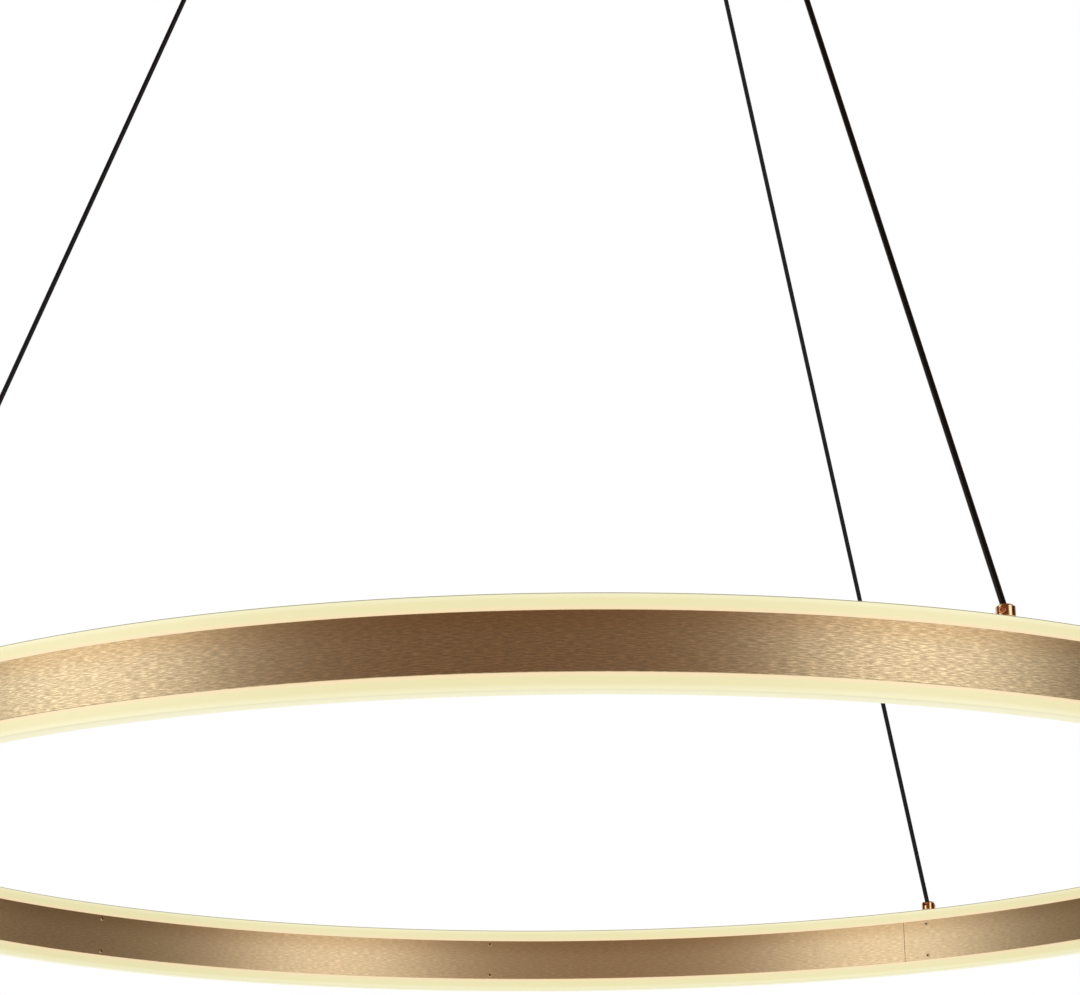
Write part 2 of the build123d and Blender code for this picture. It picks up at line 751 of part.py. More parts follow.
with BuildPart() as mains_terminal_block:
    with BuildSketch(Plane.XY.offset(under_plate)):
        with Locations((0, terminal_block_y)):
            Rectangle(block_size_x, block_size_y)
    extrude(amount=-block_size_z)
    fillet(mains_terminal_block.edges().filter_by(Axis.Z), block_fillet)
    with BuildSketch(*pole_planes):
        Circle(lead_radius + entry_clearance)
    extrude(amount=block_face, both=True, mode=Mode.SUBTRACT)
    with BuildSketch(Plane.XY.offset(block_bottom_z)):
        with Locations(*pole_screw_places):
            Circle(pole_screw_radius + entry_clearance)
    extrude(amount=pole_screw_height + entry_clearance, mode=Mode.SUBTRACT)
    with BuildSketch(Plane.XY.offset(block_bottom_z)):
        with Locations(*block_screw_places):
            Circle(block_screw_radius + thread_clearance)
    extrude(amount=block_size_z, mode=Mode.SUBTRACT)
mains_terminal_block.part.label = "mains_terminal_block"
export_step(mains_terminal_block.part, "parts/mains_terminal_block.step")

with BuildPart() as terminal_screws:
    with BuildSketch(Plane.XY.offset(block_bottom_z)):
        with Locations(*pole_screw_places):
            Circle(pole_screw_radius)
    extrude(amount=pole_screw_height)
    with BuildSketch(Plane.XY.offset(block_bottom_z)):
        with Locations(*pole_screw_places):
            Rectangle(2 * pole_screw_radius, pole_slot_width)
    extrude(amount=pole_slot_width, mode=Mode.SUBTRACT)
terminal_screws.part.label = "terminal_screws"
export_step(terminal_screws.part, "parts/terminal_screws.step")

with BuildPart() as block_screws:
    with BuildSketch(Plane.XY.offset(block_bottom_z)):
        with Locations(*block_screw_places):
            Circle(block_screw_head_radius)
    extrude(amount=-block_screw_head_height)
    with BuildSketch(Plane.XY.offset(block_bottom_z)):
        with Locations(*block_screw_places):
            Circle(block_screw_radius)
    extrude(amount=block_size_z)
block_screws.part.label = "block_screws"
export_step(block_screws.part, "parts/block_screws.step")


def run_wire(points, radii, radius):
    """Round wire along straight runs joined by tangent arcs, into the open part."""
    with BuildLine() as route:
        FilletPolyline(*points, radius=radii)
    with BuildSketch(Plane(origin=route.line @ 0, z_dir=route.line % 0)) as section:
        Circle(radius)
    sweep(sections=section.sketch, path=route.line)


lead_start = -block_face + entry_depth
lead_end = -driver_end + entry_depth
live_y, neutral_y, earth_pole_y = pole_places

with BuildPart() as live_lead:
    run_wire(
        [
            (lead_start, live_y, -lead_depth),
            (live_turn_x, live_y, -lead_depth),
            (live_side_x, live_side_y, -lead_depth),
            (live_side_x, inputs_y[0], -lead_depth),
            (lead_end, inputs_y[0], -lead_depth),
        ],
        [20, 14, 7],
        lead_radius,
    )
live_lead.part.label = "live_lead"
export_step(live_lead.part, "parts/live_lead.step")

with BuildPart() as neutral_lead:
    run_wire(
        [
            (lead_start, neutral_y, -lead_depth),
            (neutral_turn_x, neutral_y, -lead_depth),
            (neutral_side_x, neutral_side_y, -lead_depth),
            (neutral_side_x, inputs_y[1], -lead_depth),
            (lead_end, inputs_y[1], -lead_depth),
        ],
        [20, 18, 10],
        lead_radius,
    )
neutral_lead.part.label = "neutral_lead"
export_step(neutral_lead.part, "parts/neutral_lead.step")

lug_z = under_plate - lug_thickness
lug_barrel_end = earth_x + lug_radius + lug_barrel_length
with BuildPart() as earth_lug:
    with BuildSketch(Plane.XY.offset(under_plate)):
        with Locations((earth_x, earth_y)):
            Circle(lug_radius)
        with Locations((earth_x, earth_y)):
            Rectangle(lug_barrel_end - earth_x, 2 * lug_barrel_radius, align=(Align.MIN, Align.CENTER))
        with Locations((earth_x, earth_y)):
            Circle(earth_screw_radius + thread_clearance, mode=Mode.SUBTRACT)
    extrude(amount=-lug_thickness)
    barrel_start = Plane(
        origin=(lug_barrel_end, earth_y, lug_z - lug_barrel_radius), x_dir=(0, 1, 0), z_dir=(1, 0, 0)
    )
    with BuildSketch(barrel_start):
        Rectangle(2 * lug_barrel_radius, 2 * lug_barrel_radius)
        Circle(lead_radius + entry_clearance, mode=Mode.SUBTRACT)
    extrude(amount=-lug_barrel_length)
earth_lug.part.label = "earth_lug"
export_step(earth_lug.part, "parts/earth_lug.step")

with BuildPart() as earth_screw:
    with BuildSketch(Plane.XY.offset(lug_z)):
        with Locations((earth_x, earth_y)):
            Circle(earth_head_radius)
    extrude(amount=-earth_head_height)
    with BuildSketch(Plane.XY.offset(lug_z)):
        with Locations((earth_x, earth_y)):
            Circle(earth_screw_radius)
    extrude(amount=lug_thickness + plate_thickness)
earth_screw.part.label = "earth_screw"
export_step(earth_screw.part, "parts/earth_screw.step")

earth_lead_z = lug_z - lug_barrel_radius
with BuildPart() as earth_lead:
    run_wire(
        [
            (lead_start, earth_pole_y, -lead_depth),
            (earth_turn_x, earth_pole_y, -lead_depth),
            (earth_drop_x, earth_y, earth_lead_z),
            (lug_barrel_end - lug_barrel_length / 2, earth_y, earth_lead_z),
        ],
        [9, 9],
        lead_radius,
    )
earth_lead.part.label = "earth_lead"
export_step(earth_lead.part, "parts/earth_lead.step")

# Cable tails: from each gripper's mouth up under the plate and along it to the driver.
tail_end = driver_end - entry_depth
tail_routes = [
    ([(tail_x, first_tail_y), (tail_x, outputs_y[0])], [40, 15]),
    (
        [
            (tail_run_start_x, tail_run_y),
            (tail_run_end_x, tail_run_y),
            (inner_tail_x, inner_tail_y),
            (inner_tail_x, outputs_y[1]),
        ],
        [30, 25, 25, 9],
    ),
    ([(third_tail_x, third_tail_y), (tail_x, outputs_y[2])], [30, 12]),
]
for number, azimuth in enumerate(cable_azimuths, start=1):
    tail_start = circle_point(azimuth, exit_circle_radius)
    corners, radii = tail_routes[number - 1]
    with BuildPart() as cable_tail:
        run_wire(
            [(*tail_start, mouth_z), (*tail_start, -tail_depth)]
            + [(x, y, -tail_depth) for x, y in corners]
            + [(tail_end, outputs_y[number - 1], -tail_depth)],
            [rise_bend_radius] + radii,
            cable_radius,
        )
    cable_tail.part.label = f"cable_tail_{number}"
    export_step(cable_tail.part, f"parts/cable_tail_{number}.step")

# Saddles on straight runs of the tails, across the cable.
clip_bottom = -tail_depth - cable_radius - clip_cover
clip_planes = [
    Plane(origin=(x, tail_run_y, 0), x_dir=(0, 1, 0), z_dir=(1, 0, 0)) for x in clip_places_x
]
clip_planes.append(Plane(origin=(tail_x, clip_place_y, 0), x_dir=(1, 0, 0), z_dir=(0, -1, 0)))
with BuildPart() as cable_clips:
    with BuildSketch(*clip_planes):
        with Locations((0, under_plate)):
            Rectangle(clip_base_width, clip_base_thickness, align=(Align.CENTER, Align.MAX))
            Rectangle(clip_width, under_plate - clip_bottom, align=(Align.CENTER, Align.MAX))
        with Locations((0, -tail_depth)):
            Circle(cable_radius + entry_clearance, mode=Mode.SUBTRACT)
    extrude(amount=clip_length / 2, both=True)
    fillet(cable_clips.faces().group_by(Axis.Z)[0].edges().filter_by(GeomType.LINE), clip_fillet)
cable_clips.part.label = "cable_clips"
export_step(cable_clips.part, "parts/cable_clips.step")

print("free cable length", round(free_cable_length, 1), "drop", round(cable_drop, 2))
print("lean at rest", round(rest_lean, 3))
print("pivot z", round(pivot_z, 3), "ring z", round(ring_z, 3), "ring top", round(ring_top, 3))
print("mouth z", mouth_z, "spring", round(spring_low, 2), round(spring_high, 2))
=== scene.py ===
import json
from math import cos, degrees, pi, radians, sin

import bmesh
import bpy
from mathutils import Matrix, Vector


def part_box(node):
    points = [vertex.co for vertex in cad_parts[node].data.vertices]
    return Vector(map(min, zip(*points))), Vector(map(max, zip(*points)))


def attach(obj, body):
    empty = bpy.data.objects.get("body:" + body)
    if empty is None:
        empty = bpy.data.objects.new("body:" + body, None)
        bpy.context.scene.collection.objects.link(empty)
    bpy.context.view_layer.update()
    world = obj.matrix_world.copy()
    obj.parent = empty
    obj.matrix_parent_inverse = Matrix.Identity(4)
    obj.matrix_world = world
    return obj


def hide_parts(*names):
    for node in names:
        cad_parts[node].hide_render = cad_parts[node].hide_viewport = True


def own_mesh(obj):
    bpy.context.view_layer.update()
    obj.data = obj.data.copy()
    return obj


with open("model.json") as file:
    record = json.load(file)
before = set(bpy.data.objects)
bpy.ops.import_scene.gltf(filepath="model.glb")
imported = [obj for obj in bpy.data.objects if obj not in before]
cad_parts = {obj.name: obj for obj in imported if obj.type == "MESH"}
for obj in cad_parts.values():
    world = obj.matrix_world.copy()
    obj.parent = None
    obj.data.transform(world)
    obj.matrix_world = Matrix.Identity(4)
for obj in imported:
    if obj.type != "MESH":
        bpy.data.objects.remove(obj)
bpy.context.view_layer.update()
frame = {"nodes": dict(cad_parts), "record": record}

scene = bpy.context.scene
scene.view_settings.view_transform = "Standard"

# ---------------------------------------------------------------- sizes, in metres and degrees
RING_RADIUS = 0.400
RING_WALL = 0.009
RING_HEIGHT = 0.038
BAND_HEIGHT = 0.024
BAND_THICKNESS = 0.0008
BAND_EDGE = 0.00015
BAND_SEAM = 0.0003
# From the first cable round to the bands' seam.
BAND_SEAM_TURN = 2.2
DIFFUSER_SETBACK = 0.0003
DIFFUSER_WALL = 0.0016
DIFFUSER_ROUND = 0.0006
DIFFUSER_CROWN = 0.0002
RING_STEPS = 720
CORNER_STEPS = 5
SHARP_TURN = radians(32)

# From a cable round to each of its three pairs of screws.
SCREW_TURNS = (-0.1, 41.5, 79.7)
SCREW_RISE = 0.0097
SCREW_SIDES = 24
# (radius, lift off the band) of a screw head's circles, then of its socket's hexagons.
SCREW_HEAD = (
    (0.0011, 0.00003),
    (0.0011, 0.00018),
    (0.00106, 0.00034),
    (0.00096, 0.00046),
    (0.00084, 0.0005),
)
SCREW_SOCKET = ((0.00068, 0.0005), (0.00063, 0.00042), (0.0006, 0.00012))

BALL_RADIUS = 0.0019
CABLE_RADIUS = 0.00135
CABLE_NECK = 0.0028
CABLE_COUNT = 3
FIRST_CABLE = 55.8
EXIT_RADIUS = 0.100
MOUTH_Z = -0.068
TAIL_Z = -0.007
TAIL_UPRIGHT_Z = -0.035
TUBE_SIDES = 20
CABLE_STEPS = 24

SPRING_LOW = -0.0462
SPRING_HIGH = -0.0333
SPRING_RADIUS = 0.0029
SPRING_WIRE = 0.0003
SPRING_TURNS = 5
SPRING_STEPS = 32
SPRING_SIDES = 10

MID_RADIUS = RING_RADIUS - RING_WALL / 2
core_low, core_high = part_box("ring_core")
RING_Z = (core_low.z + core_high.z) / 2
cable_azimuths = [FIRST_CABLE + 360 / CABLE_COUNT * i for i in range(CABLE_COUNT)]
slot_of = {part["node"]: part["material_slot"] for part in frame["record"]["subparts"]}

# ---------------------------------------------------------------- camera
# In metres and radians. The lens and the sensor are in millimetres.
CAMERA_PLACE = (0.0, -1.43784, RING_Z - 0.27552)
CAMERA_YAW = -0.0084
CAMERA_PITCH = 0.3093
CAMERA_ROLL = -0.0085
CAMERA_LENS = 95.7
SENSOR_WIDTH = 36

# ---------------------------------------------------------------- studio
FLOOR_Z = -2.4
FLOOR_SIZE = 16.0
WHITE = (1.0, 1.0, 1.0, 1.0)
FILL = 0.62
# What the metal reflects: white towards +Y, dim elsewhere, dimmer at the sides.
DIM_STUDIO = (0.175, 0.064, 0.014, 1.0)
DIM_SIDES = (0.06, 0.022, 0.005, 1.0)
BACKDROP_RANGE = (0.35, 0.75)
SIDES_RANGE = (0.7, 1.0)
SOFTBOX_WIDTH = 1.0
SOFTBOX_HEIGHT = 1.6
SOFTBOX_POWER = 9.0
SOFTBOX_PLACES = {"left_softbox": (-1.56, -0.92, -0.45), "right_softbox": (1.44, -1.55, -0.45)}

# ---------------------------------------------------------------- looks of bands and diffusers
# Colours are written in 0 to 255, and noise scales per metre. A DRAW multiplies a noise's
# scale along the ring: the smaller it is, the longer its marks. A SHARE is how much of that
# noise or tone is mixed in at most.
# Each band's colour and how strongly its brushing shows.
BAND_LOOKS = {"outer_band": ((214, 196, 158), 1.0), "inner_band": ((234, 213, 172), 0.5)}
BAND_ROUGHNESS = (0.43, 0.37)
STROKE_SCALE = 2900.0
STROKE_DRAW = 0.09
STROKE_SHARE = 0.75
STROKE_RANGE = (0.42, 0.66)
STROKE_CONTRAST = 0.3
STROKE_RELIEF = 0.75
STROKE_DEPTH = 0.00006
HAIR_SCALE = 5200.0
HAIR_DRAW = 0.025
CLOUD_SCALE = 28.0
CLOUD_DRAW = 0.5
CLOUD_TONE = (206, 180, 136)
CLOUD_SHARE = 0.2
# Painted shade towards each band's top edge: its browner tone and how much of it is mixed in at the
# top.
BAND_TOP_SHADE_TONE = (186, 150, 100)
BAND_TOP_SHADE_SHARE = 0.45

OPAL_BODY = 0.42
OPAL_GLOW = 0.62
OPAL_ROUGHNESS = (0.34, 0.44)
CREAM = (255, 231, 188)
YELLOW = (243, 234, 184)
PALE = (249, 244, 202)
# Where cream turns to yellow and yellow to pale, from the band's edge (0) to the face (1).
CREAM_RANGE = (0.03, 0.17)
PALE_RANGE = (0.6, 1.0)
UNDERSIDE_TONE = (249, 244, 208)
UNDERSIDE_DEPTH = 0.00025
# Thin grey lines of painted shade: the rim along the upper corners, the lip along the underside's two
# edges.
RIM_SHADE_TONE = (122, 116, 92)
RIM_SHADE_SHARE = 0.9
RIM_SHADE_SIDE_FADE = 0.0002
RIM_SHADE_TOP_FADE = 0.0003
LIP_SHADE_TONE = (196, 190, 160)
LIP_SHADE_SHARE = 0.3
LIP_SHADE_FADE = 0.0006
MOTTLE_SCALE = 160.0
MOTTLE_TONE = (232, 224, 178)
MOTTLE_SHARE = 0.12
OPAL_GRAIN_SCALE = 2600.0


def make_camera():
    data = bpy.data.cameras.new("camera")
    data.lens = CAMERA_LENS
    data.sensor_width = SENSOR_WIDTH
    camera = bpy.data.objects.new("camera", data)
    scene.collection.objects.link(camera)
    level = Vector((cos(CAMERA_YAW), -sin(CAMERA_YAW), 0))
    forward = Vector((sin(CAMERA_YAW), cos(CAMERA_YAW), 0)) * cos(CAMERA_PITCH)
    forward.z = sin(CAMERA_PITCH)
    upright = level.cross(forward)
    right = level * cos(CAMERA_ROLL) + upright * sin(CAMERA_ROLL)
    up = upright * cos(CAMERA_ROLL) - level * sin(CAMERA_ROLL)
    turn = Matrix((right, up, -forward)).transposed().to_4x4()
    camera.matrix_world = Matrix.Translation(CAMERA_PLACE) @ turn
    scene.camera = camera


# ---------------------------------------------------------------- helpers for shapes
def circle_point(azimuth, radius, z):
    return Vector((radius * cos(radians(azimuth)), radius * sin(radians(azimuth)), z))


def piece_from(maker, name, *materials):
    """Links a mesh made in bmesh as one piece, smooth but for its sharp edges."""
    maker.normal_update()
    for face in maker.faces:
        face.smooth = True
    for edge in maker.edges:
        edge.smooth = edge.calc_face_angle(0.0) < SHARP_TURN
    mesh = bpy.data.meshes.new(name)
    maker.to_mesh(mesh)
    maker.free()
    for material in materials:
        mesh.materials.append(material)
    piece = bpy.data.objects.new(name, mesh)
    scene.collection.objects.link(piece)
    return piece


def revolve(name, section, material, first=0.0, sweep=360.0, steps=RING_STEPS):
    """Turns a closed section of (radius, z) points, listed anticlockwise, about the Z axis."""
    closed = sweep >= 360
    count = steps if closed else steps + 1
    maker = bmesh.new()
    rows = []
    for step in range(count):
        turn = radians(first + sweep * step / steps)
        rows.append([maker.verts.new((r * cos(turn), r * sin(turn), z)) for r, z in section])
    size = len(section)
    for step in range(steps):
        here, there = rows[step], rows[(step + 1) % count]
        for i in range(size):
            k = (i + 1) % size
            maker.faces.new((here[i], there[i], there[k], here[k]))
    if not closed:
        maker.faces.new(rows[0])
        maker.faces.new(list(reversed(rows[-1])))
    return piece_from(maker, name, material)


def tube(name, path, radius, material, sides=TUBE_SIDES):
    """Round tube along a path of points, with closed ends."""
    maker = bmesh.new()
    rows = []
    side = Vector((0, 0, 1)).cross(path[1] - path[0]).normalized()
    for i, point in enumerate(path):
        along = (path[min(i + 1, len(path) - 1)] - path[max(i - 1, 0)]).normalized()
        side = (side - along * side.dot(along)).normalized()
        up = along.cross(side)
        turns = [2 * pi * k / sides for k in range(sides)]
        rows.append([maker.verts.new(point + radius * (side * cos(t) + up * sin(t))) for t in turns])
    for here, there in zip(rows, rows[1:]):
        for k in range(sides):
            n = (k + 1) % sides
            maker.faces.new((here[k], here[n], there[n], there[k]))
    maker.faces.new(list(reversed(rows[0])))
    maker.faces.new(rows[-1])
    return piece_from(maker, name, material)


# ---------------------------------------------------------------- helpers for materials
def srgb(red, green, blue):
    """Linear colour from one written in 0 to 255."""
    def linear(value):
        share = value / 255
        return share / 12.92 if share <= 0.04045 else ((share + 0.055) / 1.055) ** 2.4
    return linear(red), linear(green), linear(blue), 1.0


def add(tree, kind, inputs=None, **settings):
    """Adds a node. An input is a value, or a socket to link from."""
    node = tree.nodes.new(kind)
    for key, value in settings.items():
        setattr(node, key, value)
    for key, value in (inputs or {}).items():
        if isinstance(value, bpy.types.NodeSocket):
            tree.links.new(value, node.inputs[key])
        else:
            node.inputs[key].default_value = value
    return node


def maths(tree, operation, *values):
    node = add(tree, "ShaderNodeMath", dict(enumerate(values)), operation=operation)
    return node.outputs[0]


def fade(tree, value, low, high):
    """0 below low, 1 above high, smooth between."""
    inputs = {"Value": value, "From Min": low, "From Max": high}
    node = add(tree, "ShaderNodeMapRange", inputs, interpolation_type="SMOOTHSTEP")
    return node.outputs["Result"]


def between(tree, value, low, high):
    """Turns 0 to 1 into low to high."""
    node = add(tree, "ShaderNodeMapRange", {"Value": value, "To Min": low, "To Max": high})
    return node.outputs["Result"]


def blend_colours(tree, share, first, second):
    node = add(tree, "ShaderNodeMix", {0: share, 6: first, 7: second}, data_type="RGBA")
    return node.outputs[2]


def scaled(tree, colour, factor):
    node = add(tree, "ShaderNodeVectorMath", {0: colour, 3: factor}, operation="SCALE")
    return node.outputs[0]


def object_place(tree):
    return add(tree, "ShaderNodeTexCoord").outputs["Object"]


def stretched(tree, vector, scale):
    return add(tree, "ShaderNodeMapping", {"Vector": vector, "Scale": scale}).outputs[0]


def noise(tree, vector, scale, detail=3.0, roughness=0.5):
    inputs = {"Vector": vector, "Scale": scale, "Detail": detail, "Roughness": roughness}
    return add(tree, "ShaderNodeTexNoise", inputs).outputs["Fac"]


def unrolled(tree):
    """The place round the Z axis as (metres along the ring, height, 0), and the height alone."""
    parts = add(tree, "ShaderNodeSeparateXYZ", {0: object_place(tree)}).outputs
    turn = maths(tree, "ARCTAN2", parts["Y"], parts["X"])
    around = maths(tree, "MULTIPLY", turn, RING_RADIUS)
    place = add(tree, "ShaderNodeCombineXYZ", {0: around, 1: parts["Z"]}).outputs[0]
    return place, parts["Z"]


def off_axis(tree):
    """The distance from the Z axis."""
    parts = add(tree, "ShaderNodeSeparateXYZ", {0: object_place(tree)}).outputs
    flat = add(tree, "ShaderNodeCombineXYZ", {0: parts["X"], 1: parts["Y"]}).outputs[0]
    return add(tree, "ShaderNodeVectorMath", {0: flat}, operation="LENGTH").outputs["Value"]


def bumped(tree, shader, height, strength, distance):
    inputs = {"Height": height, "Strength": strength, "Distance": distance}
    node = add(tree, "ShaderNodeBump", inputs)
    tree.links.new(node.outputs[0], shader.inputs["Normal"])


def new_material(name, **constants):
    """Node material with one Principled shader and its constant settings."""
    material = bpy.data.materials.new(name)
    material.use_nodes = True
    tree = material.node_tree
    shader = tree.nodes["Principled BSDF"]
    for key, value in constants.items():
        shader.inputs[key.replace("_", " ").title().replace("Ior", "IOR")].default_value = value
    return material, tree, shader


# ---------------------------------------------------------------- materials
def grained(name, colour, dark, roughness, scale, grain=0.25, bump=0.1, depth=0.0002, **constants):
    """Even material: two close tones in a fine noise, with a matching roughness and bump."""
    material, tree, shader = new_material(name, **constants)
    place = object_place(tree)
    cloud = noise(tree, place, scale, 4.0, 0.6)
    fine = noise(tree, place, scale * 6, 2.0)
    tone = blend_colours(tree, cloud, srgb(*dark), srgb(*colour))
    tree.links.new(tone, shader.inputs["Base Color"])
    rough = between(tree, fine, roughness * (1 - grain), roughness * (1 + grain))
    tree.links.new(rough, shader.inputs["Roughness"])
    bumped(tree, shader, fine, bump, depth)
    return material


def brushed_ring(colour, strength):
    """Gold anodised aluminium, brushed along the band in short fine strokes, with painted shade
    darkening it towards its top.
    """
    material, tree, shader = new_material(
        "gold_band", metallic=1.0, anisotropic=0.35, anisotropic_rotation=0.25
    )
    place, height = unrolled(tree)
    strokes = noise(tree, stretched(tree, place, (STROKE_DRAW, 1.0, 1.0)), STROKE_SCALE, 2.0, 0.55)
    hairs = noise(tree, stretched(tree, place, (HAIR_DRAW, 1.0, 1.0)), HAIR_SCALE, 2.0)
    clouds = noise(tree, stretched(tree, place, (CLOUD_DRAW, 1.0, 1.0)), CLOUD_SCALE, 2.0)
    broad = maths(tree, "MULTIPLY", strokes, STROKE_SHARE)
    narrow = maths(tree, "MULTIPLY", hairs, 1 - STROKE_SHARE)
    mixed = maths(tree, "ADD", broad, narrow)
    contrast = fade(tree, mixed, *STROKE_RANGE)
    swing = STROKE_CONTRAST * strength
    brightness = between(tree, contrast, 1 - swing, 1 + swing)
    tone = scaled(tree, srgb(*colour)[:3], brightness)
    cloud_share = between(tree, clouds, 0.0, CLOUD_SHARE)
    tone = blend_colours(tree, cloud_share, tone, srgb(*CLOUD_TONE))
    # Painted shade: browner and darker from the band's middle up to its top edge.
    level = maths(tree, "SUBTRACT", height, RING_Z)
    towards_top = fade(tree, level, 0.0, BAND_HEIGHT / 2)
    top_shade_share = maths(tree, "MULTIPLY", towards_top, BAND_TOP_SHADE_SHARE)
    tone = blend_colours(tree, top_shade_share, tone, srgb(*BAND_TOP_SHADE_TONE))
    tree.links.new(tone, shader.inputs["Base Color"])
    tree.links.new(between(tree, contrast, *BAND_ROUGHNESS), shader.inputs["Roughness"])
    tangent = add(tree, "ShaderNodeTangent", direction_type="RADIAL", axis="Z").outputs[0]
    tree.links.new(tangent, shader.inputs["Tangent"])
    bumped(tree, shader, mixed, STROKE_RELIEF * strength, STROKE_DEPTH)
    return material


def lit_opal():
    """Opal profile lit from inside: cream by the band, yellow outwards, paler underneath, with painted
    shade as thin grey lines on its edges.
    """
    material, tree, shader = new_material("opal_diffuser", emission_strength=OPAL_GLOW)
    place, height = unrolled(tree)
    level = maths(tree, "SUBTRACT", height, RING_Z)
    off_middle = maths(tree, "ABSOLUTE", level)
    climb = fade(tree, off_middle, BAND_HEIGHT / 2, RING_HEIGHT / 2)
    tone = blend_colours(tree, fade(tree, climb, *CREAM_RANGE), srgb(*CREAM), srgb(*YELLOW))
    tone = blend_colours(tree, fade(tree, climb, *PALE_RANGE), tone, srgb(*PALE))
    under = maths(tree, "LESS_THAN", level, -(RING_HEIGHT / 2 - UNDERSIDE_DEPTH))
    tone = blend_colours(tree, under, tone, srgb(*UNDERSIDE_TONE))

    # Painted shade: thin grey lines on the upper corners and along the underside's two edges.
    corner = RING_WALL / 2 - DIFFUSER_SETBACK - DIFFUSER_ROUND
    edge = RING_HEIGHT / 2 - DIFFUSER_CROWN - DIFFUSER_ROUND
    sideways = maths(tree, "ABSOLUTE", maths(tree, "SUBTRACT", off_axis(tree), MID_RADIUS))
    at_side = fade(tree, sideways, corner, corner + RIM_SHADE_SIDE_FADE)
    at_edge = fade(tree, off_middle, edge, edge + RIM_SHADE_TOP_FADE)
    above = maths(tree, "GREATER_THAN", level, 0.0)
    rim_shade = maths(tree, "MULTIPLY", maths(tree, "MULTIPLY", at_side, at_edge), above)
    tone = blend_colours(tree, maths(tree, "MULTIPLY", rim_shade, RIM_SHADE_SHARE), tone, srgb(*RIM_SHADE_TONE))
    lip_shade = maths(tree, "MULTIPLY", fade(tree, sideways, corner - LIP_SHADE_FADE, corner), under)
    tone = blend_colours(tree, maths(tree, "MULTIPLY", lip_shade, LIP_SHADE_SHARE), tone, srgb(*LIP_SHADE_TONE))

    mottle = noise(tree, place, MOTTLE_SCALE, 2.0)
    mottle_share = between(tree, mottle, 0.0, MOTTLE_SHARE)
    tone = blend_colours(tree, mottle_share, tone, srgb(*MOTTLE_TONE))
    tree.links.new(scaled(tree, tone, OPAL_BODY), shader.inputs["Base Color"])
    tree.links.new(tone, shader.inputs["Emission Color"])
    tree.links.new(between(tree, mottle, *OPAL_ROUGHNESS), shader.inputs["Roughness"])
    bumped(tree, shader, noise(tree, place, OPAL_GRAIN_SCALE, 2.0), 0.05, 0.0001)
    return material


def make_materials():
    made = {node: brushed_ring(*look) for node, look in BAND_LOOKS.items()}
    made["opal_diffuser"] = lit_opal()
    made["screw_head"] = grained(
        "screw_head", (252, 236, 200), (232, 208, 164), 0.22, 1800.0, metallic=1.0
    )
    # The sockets' dull dark brown is painted shade in the hexagon recesses.
    made["socket"] = grained("socket_painted_shade", (104, 78, 34), (76, 56, 24), 0.7, 1800.0)
    made["black_sheath"] = grained(
        "black_sheath", (9, 9, 11), (4, 4, 5), 0.34, 900.0, bump=0.15, specular_ior_level=0.28
    )
    made["bare_aluminium"] = grained(
        "bare_aluminium", (212, 214, 218), (188, 190, 195), 0.38, 300.0, metallic=1.0
    )
    made["canopy_gold"] = grained(
        "canopy_gold", (226, 198, 146), (206, 176, 124), 0.33, 500.0, metallic=1.0
    )
    made["copper"] = grained(
        "copper", (232, 158, 118), (196, 120, 80), 0.2, 1400.0, metallic=1.0
    )
    made["anchor_brass"] = grained(
        "anchor_brass", (236, 200, 162), (204, 160, 118), 0.15, 1400.0, metallic=1.0
    )
    made["nickel"] = grained(
        "nickel", (214, 210, 202), (188, 184, 176), 0.18, 900.0, metallic=1.0
    )
    made["spring_steel"] = grained(
        "spring_steel", (176, 176, 178), (140, 140, 143), 0.28, 1800.0, metallic=1.0
    )
    made["zinc_steel"] = grained(
        "zinc_steel", (196, 199, 203), (164, 167, 172), 0.36, 420.0, metallic=1.0
    )
    made["nylon"] = grained("nylon", (236, 235, 229), (226, 225, 218), 0.46, 700.0)
    made["driver_case"] = grained("driver_case", (232, 232, 229), (222, 222, 219), 0.5, 900.0, bump=0.3)
    made["circuit_strip"] = grained("circuit_strip", (238, 238, 233), (228, 228, 222), 0.42, 800.0)
    made["led_chip"] = grained("led_chip", (246, 214, 84), (238, 198, 62), 0.35, 2400.0)
    made["brown_lead"] = grained("brown_lead", (92, 52, 28), (80, 43, 22), 0.38, 1200.0)
    made["blue_lead"] = grained("blue_lead", (44, 86, 168), (36, 74, 150), 0.38, 1200.0)
    made["red_lead"] = grained("red_lead", (176, 34, 26), (154, 26, 20), 0.38, 1200.0)
    made["earth_lead"] = earth_lead()
    return made


def earth_lead():
    """Green insulation with one yellow stripe along its top."""
    material, tree, shader = new_material("earth_lead")
    place = object_place(tree)
    normal = add(tree, "ShaderNodeNewGeometry").outputs["Normal"]
    upward = add(tree, "ShaderNodeSeparateXYZ", {0: normal}).outputs["Z"]
    stripe = fade(tree, upward, 0.55, 0.6)
    fine = noise(tree, place, 1500.0)
    green = blend_colours(tree, fine, srgb(46, 122, 46), srgb(56, 138, 54))
    tone = blend_colours(tree, stripe, green, srgb(226, 206, 52))
    tree.links.new(tone, shader.inputs["Base Color"])
    tree.links.new(between(tree, fine, 0.34, 0.44), shader.inputs["Roughness"])
    bumped(tree, shader, fine, 0.1, 0.0002)
    return material


